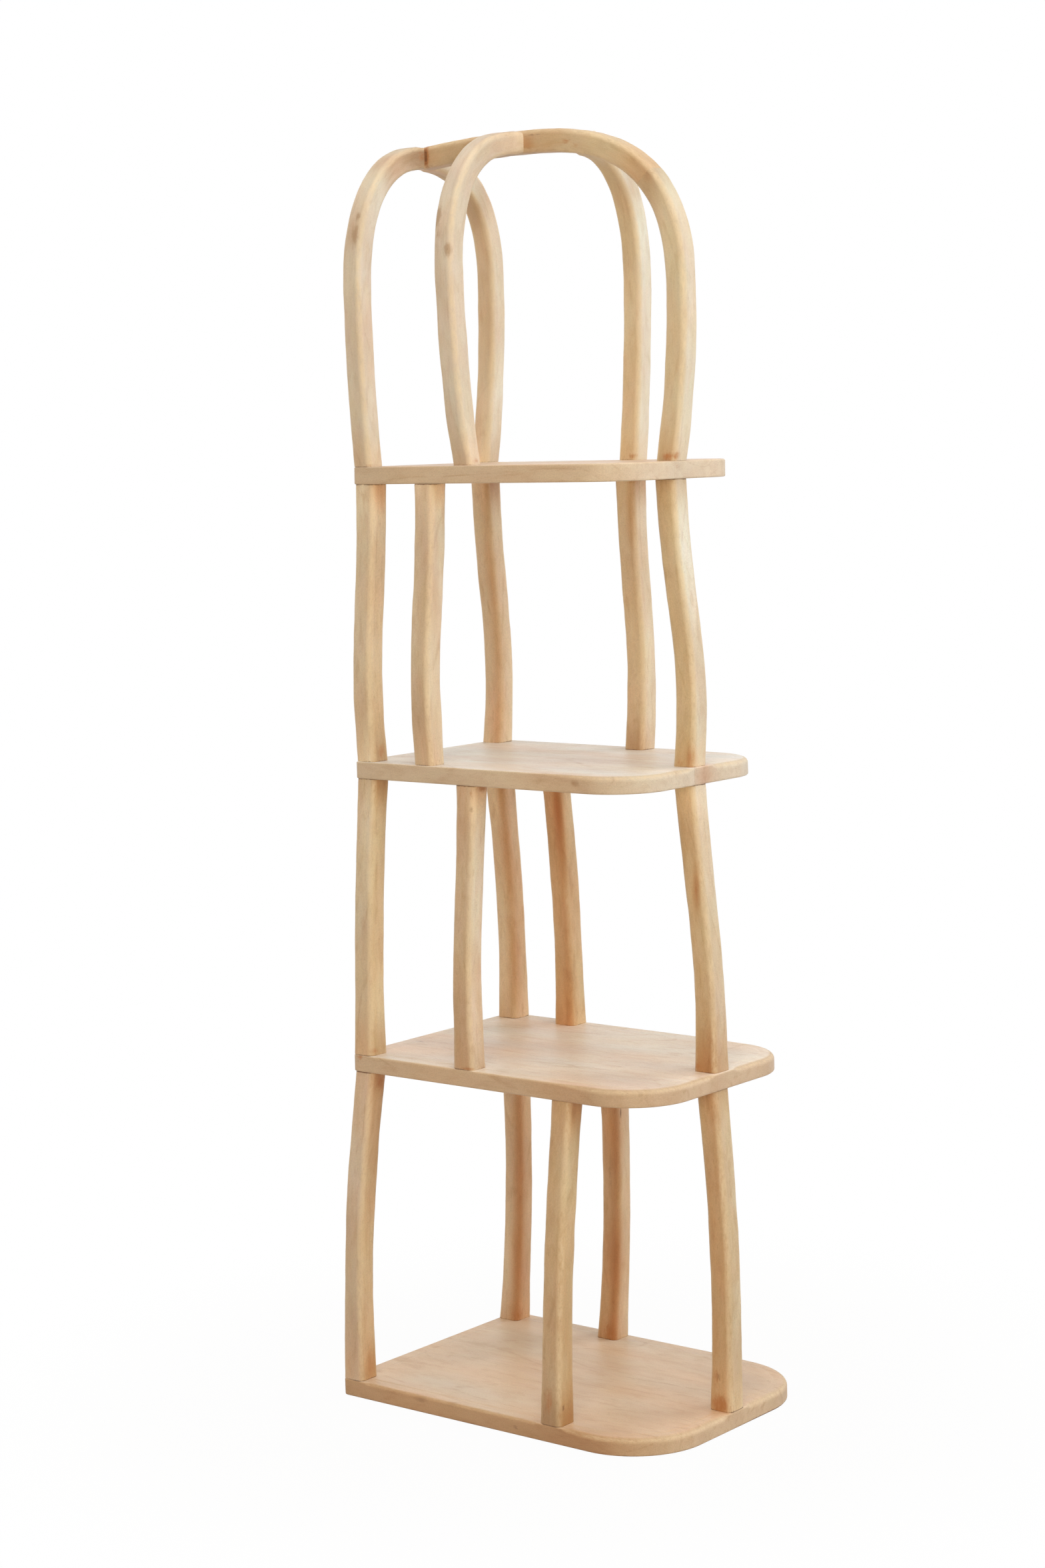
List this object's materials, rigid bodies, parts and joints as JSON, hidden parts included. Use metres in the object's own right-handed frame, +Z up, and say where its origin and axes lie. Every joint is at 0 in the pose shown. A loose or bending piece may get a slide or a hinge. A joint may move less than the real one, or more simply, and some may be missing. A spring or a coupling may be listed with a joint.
{
  "type": "open display shelf unit",
  "caption": "Tall narrow open display unit in pale hardwood, stepped round-fronted shelves on waved square posts under an arched crown.",
  "frame": {"origin": "on the floor under the middle of the whole unit's bounding box", "axes": "+Z up, -Y out of the front with the round shelf corners, +X to the right of someone who faces the front from outside it"},
  "size_m": [0.4298, 0.5916, 1.909],
  "materials": {
    "post_wood": "oiled satin",
    "panel_wood": "oiled satin",
    "lipping_wood": "oiled satin",
    "crown_wood": "oiled satin",
    "dowel_wood": "plain turned",
    "felt": "pressed felt"
  },
  "bodies": {
    "root": {"back_arch_left": "crown_wood", "back_arch_right": "crown_wood", "dowels_crown": "dowel_wood", "dowels_shelf_1": "dowel_wood", "dowels_shelf_2": "dowel_wood", "dowels_shelf_3": "dowel_wood", "dowels_shelf_4": "dowel_wood", "front_arch": "crown_wood", "glides": "felt", "post_back_left_1": "post_wood", "post_back_left_2": "post_wood", "post_back_left_3": "post_wood", "post_back_right_1": "post_wood", "post_back_right_2": "post_wood", "post_back_right_3": "post_wood", "post_front_1": "post_wood", "post_front_2": "post_wood", "post_front_3": "post_wood", "post_left_1": "post_wood", "post_left_2": "post_wood", "post_left_3": "post_wood", "post_right_1": "post_wood", "post_right_2": "post_wood", "post_right_3": "post_wood", "ridge_rail": "crown_wood", "shelf_1_lipping_back": "lipping_wood", "shelf_1_lipping_left": "lipping_wood", "shelf_1_lipping_right": "lipping_wood", "shelf_1_panel": "panel_wood", "shelf_2_lipping_back": "lipping_wood", "shelf_2_lipping_left": "lipping_wood", "shelf_2_lipping_right": "lipping_wood", "shelf_2_panel": "panel_wood", "shelf_3_lipping_back": "lipping_wood", "shelf_3_lipping_left": "lipping_wood", "shelf_3_lipping_right": "lipping_wood", "shelf_3_panel": "panel_wood", "shelf_4_lipping_back": "lipping_wood", "shelf_4_lipping_left": "lipping_wood", "shelf_4_lipping_right": "lipping_wood", "shelf_4_panel": "panel_wood", "side_arch_left": "crown_wood", "side_arch_right": "crown_wood"}
  },
  "joints": []
}
